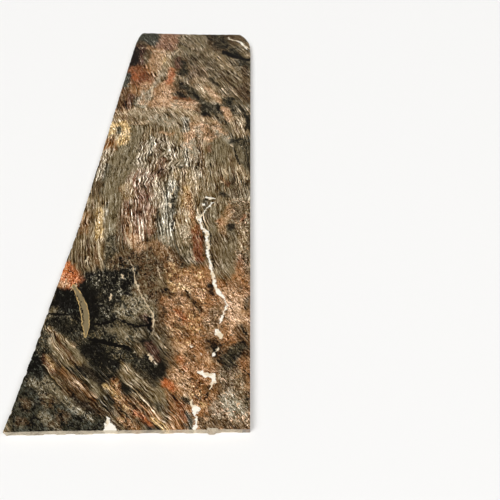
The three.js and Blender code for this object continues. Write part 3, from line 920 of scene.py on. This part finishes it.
def stone_figure(nodes, colours):
    """The stone's colour, its grains, its specks and the place they lie at."""
    place = nodes.add("TexCoord", {}).outputs["Object"]
    across, along, wave = nodes.split(nodes.carried("grain")["Vector"])
    dark, middle, light = (nodes.carried(name) for name in ("dark", "middle", "light"))
    streaky = middle["Alpha"]
    # Folds and ripples bend the streaks
    fold = nodes.streaks(across, along, 6, 10, 0, detail=2)
    ripple = nodes.streaks(across, along, 14, 26, 5, detail=2, roughness=0.45)
    shiver = nodes.streaks(across, along, 60, 60, 9, detail=1)
    bend = nodes.scaled(shiver, 0.004, nodes.times(fold, 0.024))
    bent = nodes.plus(across, nodes.scaled(ripple, wave, bend))
    # Below the polished face the layers dip
    depth = nodes.minus(SLAB_SIZE.z, nodes.split(place)[2])
    bent = nodes.scaled(depth, LAYER_DIP, bent)
    along = nodes.scaled(depth, 3 * LAYER_DIP, along)
    folded = nodes.ramp(wave, CALM_WAVE, 0.03)
    # Dark and light each follow a noise of their own, gathered in blots
    blots = nodes.cloud(place, scale=26)
    bands = nodes.streaks(bent, along, 26, 1.6, 21, detail=2)
    lift = nodes.minus(nodes.between(blots, bands, streaky), 0.5)
    lift = nodes.times(lift, nodes.scaled(streaky, -0.16, 0.4))
    covers = []
    for layer, sign, fine, broad, round_ in ((1, -1, 185, 145, 70), (7, 1, 215, 170, 85)):
        slim = nodes.streaks(bent, along, fine, 3, layer, detail=4)
        wide = nodes.streaks(bent, along, broad, 4, layer + 1, detail=4)
        grains = nodes.streaks(bent, along, round_, 0.6 * round_, layer + 3, detail=4, distortion=1.4)
        value = nodes.between(grains, nodes.between(slim, wide, folded), streaky)
        covers.append(nodes.scaled(lift, sign, value))
    specks = nodes.cloud(place, scale=260, detail=2)
    crisp = nodes.scaled(streaky, 0.6, 0.4)
    cover = nodes.share_cover(covers[1], light["Alpha"], crisp)
    colour_ = nodes.blend(cover, middle["Color"], light["Color"])
    cover = nodes.share_cover(covers[0], dark["Alpha"], crisp)
    colour_ = nodes.blend(cover, colour_, dark["Color"])
    # Pale and dark hairlines along the grain, then scratches across it
    threads = nodes.streaks(bent, along, 130, 3, 14, roughness=0.55)
    shown = nodes.times(streaky, nodes.scaled(folded, 0.4, 0.4))
    colour_ = nodes.blend(nodes.hairlines(threads, 0.54, 0.022, shown), colour_, light["Color"])
    for level, width, strength in ((0.505, 0.02, 0.8), (0.42, 0.014, 0.7)):
        hair = nodes.hairlines(threads, level, width, nodes.times(streaky, strength))
        colour_ = nodes.blend(hair, colour_, dark["Color"])
    scratches = nodes.streaks(bent, along, 80, 22, 17, detail=2, distortion=0.9)
    hair = nodes.hairlines(scratches, 0.4, 0.02, nodes.scaled(streaky, -0.5, 0.9))
    colour_ = nodes.blend(hair, colour_, dark["Color"])
    # The lightness differs from grain to grain, in streaks where the stone is streaky. It is
    # added to the colour as it is seen
    fibres = nodes.streaks(bent, along, 185, 11, 12, roughness=0.9)
    crumbs = nodes.streaks(bent, along, 160, 48, 13, roughness=0.9, distortion=2)
    mottle = nodes.minus(nodes.between(crumbs, fibres, streaky), GRAIN_MIDDLE)
    colour_ = nodes.powered(colour_, 1 / SCREEN_POWER)
    spread = nodes.minus(*(nodes.split(reading["Color"])[0] for reading in (light, dark)))
    busy = nodes.ramp(nodes.cloud(place, scale=16, detail=2), 0.35, 0.65, 0.65, 1.3)
    busy = nodes.times(busy, nodes.scaled(spread, 0.9, 0.65))
    swing = nodes.times(nodes.plus(nodes.split(colour_)[0], 0.12), busy)
    shade = nodes.times(mottle, nodes.times(swing, GRAIN_CONTRAST))
    colour_ = nodes.shaded(colour_, shade, "ADD")
    colour_ = nodes.blend(1, colour_, rgba(DARKEST_SEEN), "LIGHTEN")
    colour_ = nodes.powered(colour_, SCREEN_POWER)
    # The blade, the seams and the veins lie over all that
    jag = nodes.cloud(place, scale=75, detail=4)
    shake = nodes.scaled(jag, 0.03, -0.015)
    vein, edge, kind = nodes.line_cover("vein", shake)
    is_tan, is_blade = nodes.ramp(kind, 0.4, 0.6), nodes.ramp(kind, 1.4, 1.6)
    blade = nodes.blend(nodes.ramp(covers[0], 0.5, 1.2), rgba(colours.drab), rgba(colours.slate))
    edge = nodes.times(edge, nodes.ramp(blots, 0.38, 0.5))
    blade = nodes.blend(edge, blade, rgba(colours.ochre))
    colour_ = nodes.blend(nodes.times(vein, is_blade), colour_, blade)
    colour_ = nodes.blend(nodes.line_cover("seam", shake)[0], colour_, rgba(colours.mica))
    quartz = nodes.blend(nodes.ramp(blots, 0.42, 0.56), rgba(colours.cream), rgba(colours.quartz))
    tan = nodes.blend(nodes.ramp(specks, 0.3, 0.7), rgba(colours.tan), rgba(colours.cream))
    vein = nodes.times(vein, nodes.minus(1, is_blade))
    colour_ = nodes.blend(vein, colour_, nodes.blend(is_tan, quartz, tan))
    return colour_, covers[1], specks, place


def surface(nodes, base, roughness, height, strength, distance):
    """The shader's inputs for a colour, a roughness and the relief of a height."""
    bump = nodes.add("Bump", {"Height": height, "Strength": strength, "Distance": distance})
    return {"Base Color": base, "Roughness": roughness, "Normal": bump.outputs[0]}


def polished_granite(nodes, colours):
    base, grains, specks, _ = stone_figure(nodes, colours)
    return surface(nodes, base, nodes.ramp(grains, 0.3, 0.7, 0.09, 0.16), specks, 0.05, 0.0004)


def broken_granite(nodes, colours):
    """Crushed, dusty stone over the figure."""
    base, grains, specks, place = stone_figure(nodes, colours)
    crushed = nodes.scaled(nodes.cloud(place, scale=22), 0.7, grains)
    base = nodes.blend(nodes.ramp(crushed, 0.65, 1, 0.4, 0.92), base, rgba(colours.dust))
    base = nodes.blend(nodes.ramp(specks, 0.55, 0.75, 0, 0.5), base, rgba(colours.umber))
    height = nodes.scaled(grains, 0.8, specks)
    return surface(nodes, base, nodes.ramp(specks, 0.3, 0.7, 0.7, 0.95), height, 0.8, 0.004)


def sawn_granite(nodes, colours):
    """Dull stone with the shallow parallel marks of the saw."""
    base, _, specks, place = stone_figure(nodes, colours)
    x, y, _ = nodes.split(place)
    marks = nodes.streaks(y, x, 220, 3, 8)
    base = nodes.blend(0.55, base, rgba(colours.saw_grey))
    base = nodes.shaded(base, nodes.ramp(marks, 0.3, 0.7, 0.85, 1.12), "MULTIPLY")
    height = nodes.plus(marks, specks)
    return surface(nodes, base, nodes.ramp(specks, 0.3, 0.7, 0.6, 0.8), height, 0.5, 0.001)


def pale_floor(nodes):
    return {"Base Color": rgba(FLOOR_COLOUR), "Roughness": 0.75}


def make_material(dress, *details):
    """A material that has the name of the function which gives its shader's inputs."""
    material = bpy.data.materials.new(dress.__name__)
    nodes = Nodes(material)
    shader = nodes.add("BsdfPrincipled", dress(nodes, *details))
    nodes.add("OutputMaterial", {"Surface": shader.outputs[0]})
    return material


def add_object(scene, name, data):
    item = bpy.data.objects.new(name, data)
    scene.collection.objects.link(item)
    return item


class GRANITE_OT_slab(bpy.types.Operator):
    """Build the slab round its CAD solid, with its figure and its three finishes"""

    bl_idname = "granite.slab"
    bl_label = "Figured slab"

    def execute(self, context):
        sizes, colours = context.scene.slab_sizes, context.scene.stone_colours
        mesh = build_slab_mesh(sizes)
        carry_figure(mesh, colours, sizes.fray)
        for dress in (polished_granite, broken_granite, sawn_granite):
            mesh.materials.append(make_material(dress, colours))
        slab = add_object(context.scene, "figured_slab", mesh)
        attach(slab, "root")
        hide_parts("granite_slab")
        return {"FINISHED"}


class GRANITE_OT_stage(bpy.types.Operator):
    """Lay a pale floor under the slab, with soft studio light and the camera"""

    bl_idname = "granite.stage"
    bl_label = "Stage"

    def execute(self, context):
        scene = context.scene
        bm = bmesh.new()
        bmesh.ops.create_grid(bm, x_segments=1, y_segments=1, size=FLOOR_SIZE)
        mesh = bpy.data.meshes.new("floor")
        bm.to_mesh(mesh)
        bm.free()
        mesh.materials.append(make_material(pale_floor))
        add_object(scene, "floor", mesh)
        for name, toward, energy in LIGHTS:
            light = bpy.data.lights.new(name, "SUN")
            light.energy = energy
            light.angle = math.radians(LIGHT_SPREAD)
            lamp = add_object(scene, name, light)
            lamp.rotation_euler = Vector(toward).to_track_quat("Z", "Y").to_euler()
        scene.world = self.sky()
        scene.view_settings.view_transform = "Standard"
        camera = bpy.data.cameras.new("camera")
        camera.sensor_width = 36
        camera.lens = 36
        scene.camera = add_object(scene, "camera", camera)
        scene.camera.location = CAMERA_PLACE
        scene.camera.rotation_euler = (math.radians(CAMERA_TILT), 0, 0)
        return {"FINISHED"}

    def sky(self):
        """Pale round the horizon and dim overhead."""
        world = bpy.data.worlds.new("studio")
        nodes = Nodes(world)
        upward = nodes.split(nodes.add("TexCoord", {}).outputs["Generated"])[2]
        strength = nodes.ramp(upward, 0.06, 0.32, 1, 0.07)
        sky = nodes.add("Background", {"Color": rgba(SKY_COLOUR), "Strength": strength})
        nodes.add("OutputWorld", {"Surface": sky.outputs[0]})
        return world


class GRANITE_PT_panel(bpy.types.Panel):
    """The slab's sizes, colours and steps"""

    bl_idname = "GRANITE_PT_panel"
    bl_label = "Granite slab"
    bl_space_type = "VIEW_3D"
    bl_region_type = "UI"
    bl_category = "Granite slab"

    def draw(self, context):
        for group in (context.scene.slab_sizes, context.scene.stone_colours):
            for name in group.__annotations__:
                self.layout.prop(group, name)
        for step in STEPS:
            self.layout.operator(step.bl_idname)


STEPS = (GRANITE_OT_slab, GRANITE_OT_stage)
CLASSES = (StoneColours, SlabSizes, *STEPS, GRANITE_PT_panel)


def register():
    for cls in CLASSES:
        bpy.utils.register_class(cls)
    bpy.types.Scene.stone_colours = bpy.props.PointerProperty(type=StoneColours)
    bpy.types.Scene.slab_sizes = bpy.props.PointerProperty(type=SlabSizes)


def unregister():
    del bpy.types.Scene.slab_sizes
    del bpy.types.Scene.stone_colours
    for cls in reversed(CLASSES):
        bpy.utils.unregister_class(cls)


def main():
    register()
    bpy.ops.granite.slab()
    bpy.ops.granite.stage()


if __name__ == "__main__":
    main()
